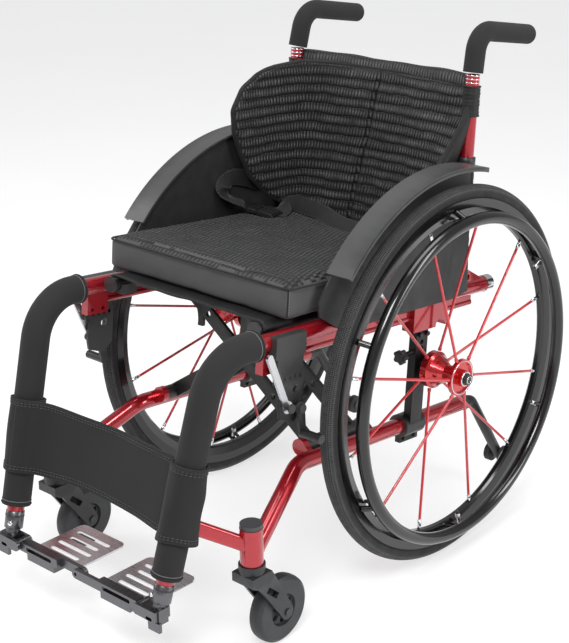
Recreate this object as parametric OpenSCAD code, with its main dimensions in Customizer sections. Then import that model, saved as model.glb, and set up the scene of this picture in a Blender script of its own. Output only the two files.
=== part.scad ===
// Folding manual wheelchair: two rigid side frames joined by a cross brace.
// Chair faces -Y, its left side is +X, the ground is Z = 0. Millimetres.

/* [Wheels] */
// Outer radius of the rear tyre
wheel_r = 295; // [290:1:300]
// Radius of the tyre's own round section
tyre_r = 12.5; // [11:0.5:13]
// Half the distance between the rear wheel planes
wheel_x = 230; // [228:1:236]
// Radius of the push rim's centre line
handrim_r = 250; // [244:1:254]
// Radius of the push rim's tube
handrim_tube = 9.5; // [8:0.5:10]
// Radius of one spoke
spoke_r = 2.2; // [1.5:0.1:2.5]

/* [Casters] */
// Radius of the caster wheel
caster_r = 50; // [45:1:50]
// Width of the caster wheel
caster_w = 24; // [18:1:26]
// Distance from the swivel axis to the caster axle
caster_trail = 50; // [40:1:52]

/* [Frame] */
// Radius of the frame tubes
tube_r = 12.7; // [11:0.1:12.7]
// Backward slope of the seat and the frame rails, degrees
seat_tilt = 5.3; // [4:0.1:6]
// Height of the upper side tube above the wheel axle line
rail_z = 405; // [403:1:407]
// Half the distance between the upper side tubes
side_x = 180; // [179:0.5:181]
// Half the distance between the lower side tubes
low_x = 168; // [167:0.5:169]

/* [Cross brace] */
// Half the distance between the lower brace pivots
pivot_x = 148; // [147:0.5:149]
// Radius of the seat rails and lower hinge tubes
rail_r = 11; // [10:0.5:11]

/* [Upholstery] */
// Half width of the cushion
cush_x = 185; // [170:1:186]
// Thickness of the cushion
cush_h = 46; // [35:1:60]
// Radius of the foam sleeve on the front legs
sleeve_r = 21; // [18:0.5:21]

/* [Hidden] */
$fn = 48;
red = "#b3121c"; blk = "#1c1c1e"; dark = "#3a3a3d"; silver = "#c9ccd0"; foam = "#2b2b2d";

zl = -190;            // brace pivots, in the tilted frame
zr = 8;               // seat rail axis, in the tilted frame
low_z = -203;         // lower tube axis, in the tilted frame
axle_z = wheel_r;     // rear axle height
swivel = [209, -419]; // caster swivel axis
knee = [177, -450, 446.8];
toe = [158, -541, 119];

function unit(v) = v / norm(v);
function perp(z) = abs(z[0]) < 0.8 ? unit(cross(z, [1, 0, 0])) : unit(cross(z, [0, 1, 0]));
// a point of the tilted frame, in the chair's frame
function tp(p) = [p[0], p[1]*cos(seat_tilt) + p[2]*sin(seat_tilt), rail_z - p[1]*sin(seat_tilt) + p[2]*cos(seat_tilt)];
module basis(o, x, y, z) multmatrix([[x[0],y[0],z[0],o[0]],[x[1],y[1],z[1],o[1]],[x[2],y[2],z[2],o[2]],[0,0,0,1]]) children();
module tilted() translate([0, 0, rail_z]) rotate([-seat_tilt, 0, 0]) children();
module along(a, b) { z = unit(b - a); x = perp(z); basis(a, x, cross(z, x), z) children(); }
module rod(a, b, r) along(a, b) cylinder(h = norm(b - a), r = r);
// a bend of radius R at the corner p1
module elbow(p0, p1, p2, R, r) {
  d1 = unit(p1 - p0); d2 = unit(p2 - p1); c = d1 * d2; th = acos(c); n = unit(d2 - c * d1);
  s = p1 - d1 * (R * tan(th / 2));
  basis(s + n * R, -n, d1, cross(-n, d1)) rotate_extrude(angle = th) translate([R, 0]) circle(r);
}
// a round tube through points, every corner with the same bend radius; a plug inside each seam makes it one piece
module pipe(p, R, r) {
  n = len(p) - 1;
  cut = [for (i = [0:n]) i == 0 || i == n ? 0 : R * tan(acos(unit(p[i] - p[i-1]) * unit(p[i+1] - p[i])) / 2)];
  for (i = [0:n-1]) {
    d = unit(p[i+1] - p[i]); a = p[i] + d * cut[i]; b = p[i+1] - d * cut[i+1];
    rod(a + d * (i == 0 ? 0 : 0.03), b - d * (i == n-1 ? 0 : 0.03), r);
    if (i > 0) rod(a - d * 2, a + d * 3, r - 0.25);
    if (i < n-1) rod(b - d * 3, b + d * 2, r - 0.25);
  }
  if (n > 1) for (i = [1:n-1]) elbow(p[i-1], p[i], p[i+1], R, r);
}
// local x, y, z become the chair's Y, Z, X, centred on the rear axle line
module axle() multmatrix([[0,0,1,0],[1,0,0,0],[0,1,0,axle_z],[0,0,0,1]]) children();
module rrect(w, h, r) { square([w - 2*r, h], center = true); square([w, h - 2*r], center = true); for (x = [-1,1], y = [-1,1]) translate([x*(w/2-r), y*(h/2-r)]) circle(r); }
module slot(l, w, h) { translate([-(l-w)/2, -w/2, 0]) cube([l-w, w, h]); for (s = [-1,1]) translate([s*(l-w)/2, 0, 0]) cylinder(h = h, d = w); }
// the chair stands with the middle of its footprint at the origin
module place() translate([0, 133.5, 0]) children();
module other() place() mirror([1, 0, 0]) children();

// ---- side frame -------------------------------------------------------
module side_tube() color(red) difference() {
  side_solid();
  rod(cane_a - 0.1*unit(cane_b - cane_a), cane_b, 11.12);
}
module side_solid() union() {
  tilted() {
    translate([side_x, -372, 0]) rotate([-90, 0, 0]) cylinder(h = 522, r = tube_r);
    translate([side_x - 3.5, -352, -24]) cube([7, 470, 20]);
    translate([side_x, -352, -24]) rotate([-90, 0, 0]) cylinder(h = 470, r = 5.5);
    // front lug with two bolts
    difference() {
      translate([side_x - 7, -366, -43]) cube([14, 40, 36]);
      for (y = [-357, -336]) translate([side_x - 10, y, -36]) rotate([0, 90, 0]) cylinder(h = 20, r = 3);
    }
    // seat for the axle post
    difference() {
      translate([side_x - 11, -38, -45]) cube([22, 84, 38]);
      translate([side_x - 12, 30, -45]) rotate([0, 90, 0]) cylinder(h = 24, r = 12);
    }
    // gusset behind the back cane
    difference() {
      translate([side_x - 5, 0, 0]) rotate([90, 0, 90]) linear_extrude(10) polygon([[82, 6], [82, 62], [97, 34], [140, 13], [140, 4]]);
      translate([side_x - 6, 103, 19]) rotate([0, 90, 0]) cylinder(h = 12, r = 4.5);
    }
    translate([side_x, 80, 4]) cylinder(h = 20, r = 12.9);
  }
}
module leg_path(r, from, to) {
  a = tp([side_x, from, 0]); d = unit(toe - knee);
  pipe([a, knee, to < 0 ? toe : knee + d * to], 72, r);
}
module leg_tube() color(red) leg_path(tube_r, -373.4, -1);
module front_tube(x) along([164, -509, 226], [206, -424, 171]) linear_extrude(norm([42, 85, 55])) rrect(21 + x, 19 + x, 5);
module leg_sleeve() color(foam) difference() {
  leg_path(sleeve_r, -378, 306);
  leg_path(tube_r + 0.3, -370, -1);
  front_tube(0.6);
}
module lower_tube() color(red) difference() {
  union() {
    pipe([[208, -412, 158], tp([low_x, -262, low_z]), tp([low_x, 136, low_z])], 45, tube_r);
    difference() { front_tube(0); leg_path(tube_r + 0.1, -370, -1); }
    translate([swivel[0], swivel[1], 143]) cylinder(h = 54, r = 16.5);
    // brace hinge lugs, each with its pin
    tilted() for (y = [-238, -100]) translate([0, y, 0]) {
      translate([pivot_x, 0, zl]) rotate([-90, 0, 0]) cylinder(h = 10, r = 12.5);
      hull() { translate([pivot_x, 0, zl]) rotate([-90, 0, 0]) cylinder(h = 10, r = 11, $fn = 32); translate([low_x, 0, low_z]) rotate([-90, 0, 0]) cylinder(h = 10, r = 9, $fn = 32); }
    }
    tilted() { translate([pivot_x, -229, zl]) rotate([-90, 0, 0]) cylinder(h = 15, r = 5); translate([pivot_x, -114, zl]) rotate([-90, 0, 0]) cylinder(h = 15, r = 5); }
  }
  translate([swivel[0], swivel[1], 140]) cylinder(h = 80, r = 9.06);
}
module tube_cap() color(silver) tilted() translate([side_x, 150.2, 0]) rotate([-90, 0, 0]) { cylinder(h = 16, r = 13.4); translate([0, 0, 16]) cylinder(h = 3, r1 = 13.4, r2 = 11); }
module axle_post() color(blk) union() {
  tilted() difference() {
    union() {
      translate([171, -20, low_z + 4]) cube([14, 28, -45.2 - low_z - 4]);
      translate([low_x, -28, low_z]) rotate([-90, 0, 0]) cylinder(h = 46, r = 18.5);
      translate([low_x - 5, -27, low_z - 27]) cube([10, 44, 14]);
      for (y = [-18, 8]) translate([low_x - 8, y, low_z - 21.5]) rotate([0, 90, 0]) cylinder(h = 16, r = 3);
      for (y = [-14, 3]) translate([166, y, -53]) rotate([0, 90, 0]) cylinder(h = 24, r = 3.5);
    }
    translate([low_x, -60, low_z]) rotate([-90, 0, 0]) cylinder(h = 110, r = tube_r + 0.05);
    for (z = [-66, -76]) translate([160, -6, z]) rotate([0, 90, 0]) cylinder(h = 40, r = 4);
  }
  // axle housing and quick-release axle
  axle() {
    translate([0, 0, 166]) cylinder(h = 24.5, r = 16);
    translate([0, 0, 159]) cylinder(h = 8, r = 9);
    translate([0, 0, 189]) cylinder(h = 72, r = 6);
    translate([0, 0, 260.5]) cylinder(h = 6.5, r = 8.5);
  }
  // hand knob in front of the post
  translate([178, -10, 326]) rotate([90, 0, 0]) { cylinder(h = 40, r = 4); translate([0, 0, 39]) cylinder(h = 12, r = 8); for (a = [0:72:288]) rotate([0, 0, a]) translate([8, 0, 40]) cylinder(h = 10, r = 3.6); }
}
cane_a = tp([side_x + 1, 80, 24.2]);
cane_b = [178, 111, 735];
grip_c = [175, 126, 799];
grip_d = [175, 252, 778];
module back_cane() color(red) union() {
  rod(cane_a, cane_b, 11);
  translate([0,0,0]) along(cane_b - 136*unit(cane_b - cane_a), cane_b) difference() { cylinder(h = 9, r = 13.5); }
}
module push_grip() color(foam) union() {
  d = unit(cane_b - cane_a);
  pipe([cane_b + d * 2.6, grip_c, grip_d], 34, 15.5);
  e = unit(grip_d - grip_c);
  rod(grip_d - e * 3, grip_d + e * 3, 15.25);
  along(grip_d + e * 0.03, grip_d + e) rotate_extrude() { square([9, 14]); square([15.5, 7]); translate([8.5, 7]) circle(7); }
}
module guard_panel() color(blk) difference() {
  axle() translate([0, 0, 193]) linear_extrude(3) difference() {
    intersection() {
      circle(r = 316.6, $fn = 96);
      polygon([[-214, 124], [-262, 158], [-264, 192], [-220, 330], [88, 330], [88, 104], [56, 100]]);
    }
  }
}
module guard_flange() color(dark) axle() {
  rotate([0, 0, 74]) rotate_extrude(angle = 64, $fn = 128) { translate([317, 187.5]) square([3.4, 42.5]); translate([313, 227]) square([4.2, 3.4]); }
}
module brake_mount() color(blk) union() {
  // clamp on the tube
  tilted() difference() {
    union() { translate([side_x + 7.3, -356, -20]) cube([13.7, 60, 31]); translate([side_x + 13, -352, -58]) cube([8, 52, 44]); }
    translate([side_x, -372, 0]) rotate([-90, 0, 0]) cylinder(h = 120, r = tube_r + 0.05);
    for (i = [0:4]) translate([side_x + 10, -348 + i * 10.5, -50]) rotate([0, 90, 0]) cylinder(h = 20, r = 2.8);
  }
  // hanging plate with the two pivots
  difference() {
    translate([196, 0, 0]) rotate([90, 0, 90]) linear_extrude(4.5) polygon([[-342, 392], [-298, 388], [-304, 332], [-322, 318], [-350, 330], [-352, 352]]);
    translate([190, -318, 366]) rotate([0, 90, 0]) cylinder(h = 20, r = 6);
  }
  translate([200, -338, 345]) rotate([0, 90, 0]) cylinder(h = 12, r = 4);
  translate([200, -316, 338]) rotate([0, 90, 0]) cylinder(h = 12, r = 4);
  for (p = [[-338, 345], [-316, 338]]) translate([210.3, p[0], p[1]]) rotate([0, 90, 0]) cylinder(h = 3, r = 6.5);
}
module rail_saddles() color(blk) tilted() for (y = [-318, -182, 28]) difference() {
  union() {
    translate([rail_x() - 14, y - 14, zr - 15.5]) cube([19, 28, 15.5]);
    translate([rail_x() + 2, y - 14, -6.5]) cube([side_x - rail_x() - 13.4, 28, 7.5]);
  }
  translate([rail_x(), y - 20, zr]) rotate([-90, 0, 0]) cylinder(h = 40, r = rail_r + 0.35);
  translate([side_x, y - 20, 0]) rotate([-90, 0, 0]) cylinder(h = 40, r = tube_r + 0.02);
}
function rail_x() = pivot_x;
module foot_bracket() color(dark) difference() {
  union() {
    rod(toe + unit(toe - knee) * 0.3, toe + unit(toe - knee) * 22, 10.5);
    translate([140, -557, 92]) cube([30, 17, 22]);
    for (y = [-562, -540]) translate([0, y, 0]) { translate([130, 0, 97]) cube([38, 5, 16]); translate([130, 0, 105]) rotate([-90, 0, 0]) cylinder(h = 5, r = 8); }
    translate([130, -562, 105]) rotate([-90, 0, 0]) cylinder(h = 27, r = 4);
    // slotted loop on the outer side
    translate([150, -559, 82]) cube([22, 5, 14]);
  }
  translate([155, -565, 100]) rotate([-90, 0, 0]) slot(12, 5, 40);
}
// ---- moving parts -----------------------------------------------------
module brake_lever() color(silver) union() {
  difference() { translate([201, -338, 345]) rotate([0, 90, 0]) cylinder(h = 4, r = 9); translate([198, -338, 345]) rotate([0, 90, 0]) cylinder(h = 12, r = 4.05); }
  translate([201, 0, 0]) rotate([90, 0, 90]) linear_extrude(4) polygon([[-346, 349], [-337, 354], [-366, 428], [-376, 424]]);
  translate([201, -371, 426]) rotate([0, 90, 0]) cylinder(h = 4, r = 5.4);
}
module brake_shoe() color(dark) union() {
  difference() { translate([205.6, -316, 338]) rotate([0, 90, 0]) cylinder(h = 4.4, r = 8.5); translate([198, -316, 338]) rotate([0, 90, 0]) cylinder(h = 16, r = 4.05); }
  translate([205.6, 0, 0]) rotate([90, 0, 90]) linear_extrude(4.4) polygon([[-323, 333], [-309, 334], [-307, 300], [-319, 300]]);
  translate([205.6, -313, 300]) rotate([0, 90, 0]) cylinder(h = 38, r = 6.5);
}
at_dir = unit(tp([low_x, 240, low_z]) - tp([low_x, 136, low_z]));
at_a = tp([low_x, 136.4, low_z]);
at_b = tp([low_x, 166, low_z]);
at_c = [low_x, 233, 58];
module antitip_arm() color(blk) difference() {
  union() {
    pipe([at_a, at_b, at_c], 22, 8.5);
    rod(at_a, at_a + at_dir * 10, 12.9);
    translate([low_x - 4, at_c[1], at_c[2]]) rotate([0, 90, 0]) cylinder(h = 8, r = 9);
    translate([low_x - 20, at_c[1], at_c[2]]) rotate([0, 90, 0]) cylinder(h = 40, r = 3.5);
    for (s = [0, 1]) translate([low_x - 21 + s * 40, at_c[1], at_c[2]]) rotate([0, 90, 0]) cylinder(h = 2, r = 5.5);
  }
}
module antitip_wheel() color(dark) difference() {
  union() for (s = [-1, 1]) translate([low_x + s * 13.7 - 4.9, at_c[1], at_c[2]]) rotate([0, 90, 0]) cylinder(h = 9.8, r = 16);
  translate([low_x - 24, at_c[1], at_c[2]]) rotate([0, 90, 0]) cylinder(h = 48, r = 3.55);
}
module tyre() color(blk) axle() translate([0, 0, wheel_x]) rotate_extrude($fn = 128) translate([wheel_r - tyre_r, 0]) circle(tyre_r);
module rim() color(blk) axle() translate([0, 0, wheel_x]) rotate_extrude($fn = 128) difference() {
  polygon([[247, -3.5], [250, -6.5], [262, -10.5], [275, -11], [275, 11], [262, 10.5], [250, 6.5], [247, 3.5]]);
  translate([wheel_r - tyre_r, 0]) circle(tyre_r + 0.05);
}
function pol(r, a, x) = [r * cos(a), r * sin(a), x];
module spokes() color("#d8262b") axle() for (k = [0:11]) {
  out = k % 2 == 1;
  rod(pol(29.9, 14 + 30*k + (out ? 7 : -7), out ? wheel_x + 20.5 : wheel_x - 29), pol(246.1, 14 + 30*k, wheel_x + (out ? 1.5 : -1.5)), spoke_r);
}
module hub() color(red) axle() difference() {
  rotate_extrude() polygon([[6.06, 192], [25, 192], [29, 194], [29, 205], [25, 208], [14, 226], [13, 240], [18, 246], [29, 247.5], [29, 253.5], [24, 254], [22, 251], [13, 251], [13, 260], [6.06, 260]]);
  for (a = [0:60:300]) rotate([0, 0, a]) translate([16, 0, 214]) rotate([0, 62, 0]) cylinder(h = 14, r = 3.6);
  for (a = [30:60:330]) rotate([0, 0, a]) translate([20.5, 0, 189]) cylinder(h = 8, r = 4);
}
module handrim() color(blk) axle() {
  translate([0, 0, wheel_x + 34]) rotate_extrude($fn = 128) translate([handrim_r, 0]) circle(handrim_tube);
  for (k = [0:5]) rod(pol(261, 32 + 60*k, wheel_x + 11.2), pol(252, 32 + 60*k, wheel_x + 30), 4.5);
}
module caster_fork() color(blk) translate([swivel[0], swivel[1], 0]) difference() {
  union() {
    translate([0, 0, 120]) cylinder(h = 80, r = 9);
    translate([0, 0, 197.5]) cylinder(h = 6, r = 16);
    translate([0, 0, 128]) cylinder(h = 14.6, r = 19);
    // crown
    translate([-20, -19, 116]) cube([40, 38, 14]);
    // legs
    for (s = [-1, 1]) translate([s * 17 - 3, 0, 0]) rotate([90, 0, 90]) linear_extrude(6) difference() {
      polygon([[-19, 130], [19, 130], [26, 118], [caster_trail + 10, caster_r + 6], [caster_trail + 8, caster_r - 9], [caster_trail - 7, caster_r - 10], [-4, 108], [-19, 116]]);
      translate([20, 94]) rotate(-42) square([26, 9], center = true);
    }
    translate([-20, caster_trail, caster_r]) rotate([0, 90, 0]) cylinder(h = 40, r = 11);
    translate([-22, caster_trail, caster_r]) rotate([0, 90, 0]) cylinder(h = 44, r = 5.5);
  }
  translate([-13.6, caster_trail - 60, caster_r - 60]) cube([27.2, 120, 115.5]);
}
module caster_wheel() color(dark) translate([swivel[0], swivel[1] + caster_trail, caster_r]) rotate([0, 90, 0]) difference() {
  rotate_extrude() polygon([[0, -13.3], [8, -13.3], [9, -9], [22, -8], [24, -caster_w/2], [caster_r - 6, -caster_w/2], [caster_r - 1, -caster_w/2 + 4], [caster_r, -3], [caster_r, 3], [caster_r - 1, caster_w/2 - 4], [caster_r - 6, caster_w/2], [24, caster_w/2], [22, 8], [9, 9], [8, 13.3], [0, 13.3]]);
  for (a = [0:60:300]) rotate([0, 0, a]) translate([16, 0, -20]) cylinder(h = 40, r = 5);
}
// knuckle, half bar and the lap plate that passes its twin
module foot_bar(y0) color(dark) union() {
  difference() {
    union() {
      translate([130, -556.7, 105]) rotate([-90, 0, 0]) cylinder(h = 16.4, r = 8);
      difference() { translate([42, -556, 98]) cube([82, 15, 14]); translate([83, -560, 105]) rotate([-90, 0, 0]) slot(56, 6, 30); }
      translate([-2, y0, 98]) cube([46, 6.5, 14]);
      translate([-2, y0, 105]) rotate([-90, 0, 0]) cylinder(h = 6.5, r = 7);
      translate([50, -555.5, 88]) cube([60, 13, 12]);
      translate([50, -555.5, 88]) cube([60, 26, 3.6]);
    }
    translate([130, -570, 105]) rotate([-90, 0, 0]) cylinder(h = 50, r = 4.05);
    translate([-2, -570, 105]) rotate([-90, 0, 0]) cylinder(h = 50, r = 2.6);
  }
}
module foot_plate() color(silver) difference() {
  translate([74, -489, 91.8]) linear_extrude(3) rrect(96, 98, 10);
  for (i = [0:3]) translate([74, -462 - i * 18, 88]) slot(70 - (i % 2) * 10, 7, 10);
  for (x = [60, 100]) translate([x, -534.5, 88]) cylinder(h = 10, r = 2.2);
}
// ---- cross brace ------------------------------------------------------
arm_l = norm([2*pivot_x, zr - zl]);
arm_a = atan2(zr - zl, 2*pivot_x);
// a flat bar of the arm, from the pivot at the left to the rail at the right, at y
module bar(y, hole) difference() {
  translate([pivot_x, y, zl]) rotate([0, arm_a, 0]) translate([-arm_l, 0, -11]) cube([arm_l, 6, 22]);
  translate([0, y - 1, (zr + zl)/2]) rotate([-90, 0, 0]) cylinder(h = 8, r = hole);
  for (q = [0.26, 0.74]) translate([pivot_x - 2*pivot_x*q, y - 1, zl + (zr - zl)*q]) rotate([-90, 0, 0]) cylinder(h = 8, r = 5);
}
module arm(ys, lead) tilted() {
  difference() {
    union() {
      translate([pivot_x, -227.5, zl]) rotate([-90, 0, 0]) cylinder(h = 127, r = rail_r);
      translate([-pivot_x, -342, zr]) rotate([-90, 0, 0]) cylinder(h = 424, r = rail_r);
      for (y = ys) difference() { bar(y, 6.05); }
      // curved stay from the rail down to the front bar
      translate([-pivot_x + 4, ys[0] + 3 - lead, zr - 4]) rotate([0, 0, 0]) rotate([90, 0, 0]) translate([0, 0, -5]) difference() {
        translate([0, -62, 2]) cylinder(h = 6, r = 62);
        translate([0, -62, -1]) cylinder(h = 10, r = 52);
        translate([-80, -140, -1]) cube([80, 160, 10]);
        translate([-1, -140, -1]) cube([80, 70, 10]);
      }
    }
    translate([pivot_x, -260, zl]) rotate([-90, 0, 0]) cylinder(h = 180, r = 5.06);
  }
  // rail end caps
  for (y = [-346, 82]) translate([-pivot_x, y, zr]) rotate([-90, 0, 0]) cylinder(h = 4, r = rail_r + 1);
}
module cross_arm_a() color(dark) arm([-214, -124], 0);
module cross_arm_b() color(dark) mirror([1, 0, 0]) arm([-207.4, -117.4], 0);
module cross_bolts() color(silver) tilted() for (y = [-214, -124]) translate([0, y, (zr + zl)/2]) rotate([-90, 0, 0]) {
  translate([0, 0, -4]) cylinder(h = 20, r = 5.98);
  translate([0, 0, -8]) cylinder(h = 7.9, r = 10);
  translate([0, 0, 12.8]) cylinder(h = 6, r = 10);
}
// ---- upholstery -------------------------------------------------------
module cushion() color(blk) tilted() translate([0, -126, 23]) linear_extrude(cush_h) rrect(2*cush_x, 378, 16);
module seat_sling() color(blk) tilted() translate([0, -128, 19.5]) linear_extrude(3) rrect(2*pivot_x + 18, 412, 6);
module backrest() color(blk) union() {
  intersection() {
    translate([0, 0, 470]) linear_extrude(262) difference() {
      polygon([[-186, -52], [-181, 30], [-166, 88], [-120, 112], [0, 126], [120, 112], [166, 88], [181, 30], [186, -52], [178, -52], [172, 28], [157, 80], [116, 100], [0, 113], [-116, 100], [-157, 80], [-172, 28], [-178, -52]]);
    }
    translate([-220, 0, 0]) rotate([90, 0, 90]) linear_extrude(440) polygon([[150, 470], [60, 470], [20, 540], [-30, 572], [-52, 612], [-50, 656], [-22, 700], [30, 724], [90, 732], [150, 732]]);
  }
}
module calf_strap() color(foam) difference() {
  union() {
    for (s = [-1, 1]) { a = s < 0 ? [-1, 1, 1] : [1, 1, 1]; rod(sc(strap(0), a), sc(strap(1), a), 25); }
    translate([-145, 0, 0]) rotate([90, 0, 90]) linear_extrude(290) polygon([[-504, 310], [-500, 311], [-527, 213], [-531, 212]]);
  }
  for (s = [-1, 1]) { a = s < 0 ? [-1, 1, 1] : [1, 1, 1]; d = strap(1) - strap(0); rod(sc(strap(0) - d, a), sc(strap(1) + d, a), sleeve_r + 0.3); }
  for (s = [0, 1]) mirror([s, 0, 0]) front_tube(1.2);
}
function sc(p, a) = [p[0]*a[0], p[1]*a[1], p[2]*a[2]];
function strap(q) = knee + unit(toe - knee) * (q == 0 ? 150 : 252);
module lap_belt() color(blk) tilted() difference() {
  translate([-157, 36, 69.4]) cube([314, 22, 7]);
  translate([-200, 30, 72.9]) cube([150, 34, 8]);
  translate([20, 30, 72.9]) cube([180, 34, 8]);
}

place() side_tube();  // side_tube_l
place() leg_tube();  // leg_tube_l
place() leg_sleeve();  // leg_sleeve_l
place() lower_tube();  // lower_tube_l
place() tube_cap();  // tube_cap_l
place() axle_post();  // axle_post_l
place() back_cane();  // back_cane_l
place() push_grip();  // push_grip_l
place() guard_panel();  // guard_panel_l
place() guard_flange();  // guard_flange_l
place() brake_mount();  // brake_mount_l
place() rail_saddles();  // rail_saddles_l
place() foot_bracket();  // foot_bracket_l
place() brake_lever();  // brake_lever_l
place() brake_shoe();  // brake_shoe_l
place() antitip_arm();  // antitip_arm_l
place() antitip_wheel();  // antitip_wheel_l
place() tyre();  // tyre_l
place() rim();  // rim_l
place() spokes();  // spokes_l
place() hub();  // hub_l
place() handrim();  // handrim_l
place() caster_fork();  // caster_fork_l
place() caster_wheel();  // caster_wheel_l
place() foot_bar(-556);  // foot_bar_l
place() foot_plate();  // foot_plate_l
other() side_tube();  // side_tube_r
other() leg_tube();  // leg_tube_r
other() leg_sleeve();  // leg_sleeve_r
other() lower_tube();  // lower_tube_r
other() tube_cap();  // tube_cap_r
other() axle_post();  // axle_post_r
other() back_cane();  // back_cane_r
other() push_grip();  // push_grip_r
other() guard_panel();  // guard_panel_r
other() guard_flange();  // guard_flange_r
other() brake_mount();  // brake_mount_r
other() rail_saddles();  // rail_saddles_r
other() foot_bracket();  // foot_bracket_r
other() brake_lever();  // brake_lever_r
other() brake_shoe();  // brake_shoe_r
other() antitip_arm();  // antitip_arm_r
other() antitip_wheel();  // antitip_wheel_r
other() tyre();  // tyre_r
other() rim();  // rim_r
other() spokes();  // spokes_r
other() hub();  // hub_r
other() handrim();  // handrim_r
other() caster_fork();  // caster_fork_r
other() caster_wheel();  // caster_wheel_r
other() foot_bar(-547.5);  // foot_bar_r
other() foot_plate();  // foot_plate_r
place() cross_arm_a();
place() cross_arm_b();
place() cross_bolts();
place() cushion();
place() seat_sling();
place() backrest();
place() calf_strap();
place() lap_belt();
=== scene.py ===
import bpy, bmesh, math
import numpy as np
from mathutils import Vector, Matrix


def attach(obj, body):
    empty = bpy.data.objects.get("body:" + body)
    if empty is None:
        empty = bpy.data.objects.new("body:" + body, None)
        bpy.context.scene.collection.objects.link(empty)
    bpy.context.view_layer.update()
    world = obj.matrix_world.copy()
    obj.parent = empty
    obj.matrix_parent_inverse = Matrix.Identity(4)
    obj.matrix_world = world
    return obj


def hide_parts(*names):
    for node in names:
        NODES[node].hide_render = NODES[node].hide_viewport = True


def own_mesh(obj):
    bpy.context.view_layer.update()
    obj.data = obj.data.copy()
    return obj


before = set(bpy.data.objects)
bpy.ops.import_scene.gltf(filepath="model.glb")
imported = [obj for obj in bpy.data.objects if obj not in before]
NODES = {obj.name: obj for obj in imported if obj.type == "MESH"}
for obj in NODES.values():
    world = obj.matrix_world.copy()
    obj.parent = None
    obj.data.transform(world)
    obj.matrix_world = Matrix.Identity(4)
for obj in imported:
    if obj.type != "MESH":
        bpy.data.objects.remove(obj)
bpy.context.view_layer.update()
Y0 = 0.1335
TILT = math.radians(5.3)
CT, ST = math.cos(TILT), math.sin(TILT)


def P(x, y, z):
    """mm in the chair's design frame to metres in the row frame"""
    return np.array([x / 1000.0, (y + Y0 * 1000) / 1000.0, z / 1000.0])


def T(x, y, z):
    """mm in the tilted seat frame to metres in the row frame"""
    return P(x, y * CT + z * ST, 405 - y * ST + z * CT)


# ------------------------------------------------------------------ materials
class Mat:
    def __init__(self, name, base=(0.5, 0.5, 0.5), rough=0.5, metal=0.0, coat=0.0, coat_rough=0.05, sheen=0.0, spec=0.5):
        m = bpy.data.materials.new(name)
        m.use_nodes = True
        self.m = m
        self.nt = m.node_tree
        self.b = self.nt.nodes["Principled BSDF"]
        self.b.inputs["Base Color"].default_value = (*base, 1)
        self.b.inputs["Roughness"].default_value = rough
        self.b.inputs["Metallic"].default_value = metal
        self.b.inputs["Coat Weight"].default_value = coat
        self.b.inputs["Coat Roughness"].default_value = coat_rough
        self.b.inputs["Sheen Weight"].default_value = sheen
        self.b.inputs["Sheen Roughness"].default_value = 0.5
        self.b.inputs["Specular IOR Level"].default_value = spec
        self.tc = self.nt.nodes.new("ShaderNodeTexCoord")
        self.h = None

    def n(self, kind, **props):
        node = self.nt.nodes.new(kind)
        for k, v in props.items():
            setattr(node, k, v)
        return node

    def link(self, a, b):
        self.nt.links.new(a, b)

    def coord(self, scale=(1, 1, 1), rot=(0, 0, 0), loc=(0, 0, 0), uv=False):
        mp = self.n("ShaderNodeMapping")
        mp.inputs["Scale"].default_value = scale
        mp.inputs["Rotation"].default_value = rot
        mp.inputs["Location"].default_value = loc
        self.link(self.tc.outputs["UV" if uv else "Object"], mp.inputs["Vector"])
        return mp.outputs["Vector"]

    def noise(self, scale, detail=4, rough=0.55, vec=None):
        t = self.n("ShaderNodeTexNoise")
        t.inputs["Scale"].default_value = scale
        t.inputs["Detail"].default_value = detail
        t.inputs["Roughness"].default_value = rough
        self.link(vec if vec is not None else self.coord(), t.inputs["Vector"])
        return t.outputs["Fac"]

    def math(self, op, a, b=None, c=None, clamp=False):
        t = self.n("ShaderNodeMath", operation=op, use_clamp=clamp)
        for i, v in enumerate((a, b, c)):
            if v is None:
                continue
            if isinstance(v, (int, float)):
                t.inputs[i].default_value = v
            else:
                self.link(v, t.inputs[i])
        return t.outputs[0]

    def ramp(self, fac, stops):
        r = self.n("ShaderNodeValToRGB")
        el = r.color_ramp.elements
        while len(el) < len(stops):
            el.new(0.5)
        for e, (p, c) in zip(el, stops):
            e.position = p
            e.color = (*c, 1) if len(c) == 3 else c
        self.link(fac, r.inputs["Fac"])
        return r.outputs["Color"]

    def mix(self, fac, a, b):
        t = self.n("ShaderNodeMix", data_type="RGBA")
        for sock, v in ((t.inputs["Factor"], fac), (t.inputs["A"], a), (t.inputs["B"], b)):
            if isinstance(v, (int, float)):
                sock.default_value = v
            elif isinstance(v, tuple):
                sock.default_value = (*v, 1)
            else:
                self.link(v, sock)
        return t.outputs["Result"]

    def color(self, out):
        self.link(out, self.b.inputs["Base Color"])

    def rough(self, out):
        self.link(out, self.b.inputs["Roughness"])

    def remap(self, v, lo, hi):
        t = self.n("ShaderNodeMapRange")
        t.inputs["From Min"].default_value = 0.3
        t.inputs["From Max"].default_value = 0.7
        t.inputs["To Min"].default_value = lo
        t.inputs["To Max"].default_value = hi
        self.link(v, t.inputs["Value"])
        return t.outputs["Result"]

    def bump(self, height, strength=0.3, dist=0.001):
        t = self.n("ShaderNodeBump")
        t.inputs["Strength"].default_value = strength
        t.inputs["Distance"].default_value = dist
        self.link(height, t.inputs["Height"])
        if self.h is not None:
            self.link(self.h, t.inputs["Normal"])
        self.h = t.outputs["Normal"]
        self.link(self.h, self.b.inputs["Normal"])

    def sep(self, vec=None):
        s = self.n("ShaderNodeSeparateXYZ")
        self.link(vec if vec is not None else self.tc.outputs["Object"], s.inputs[0])
        return s.outputs


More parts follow.
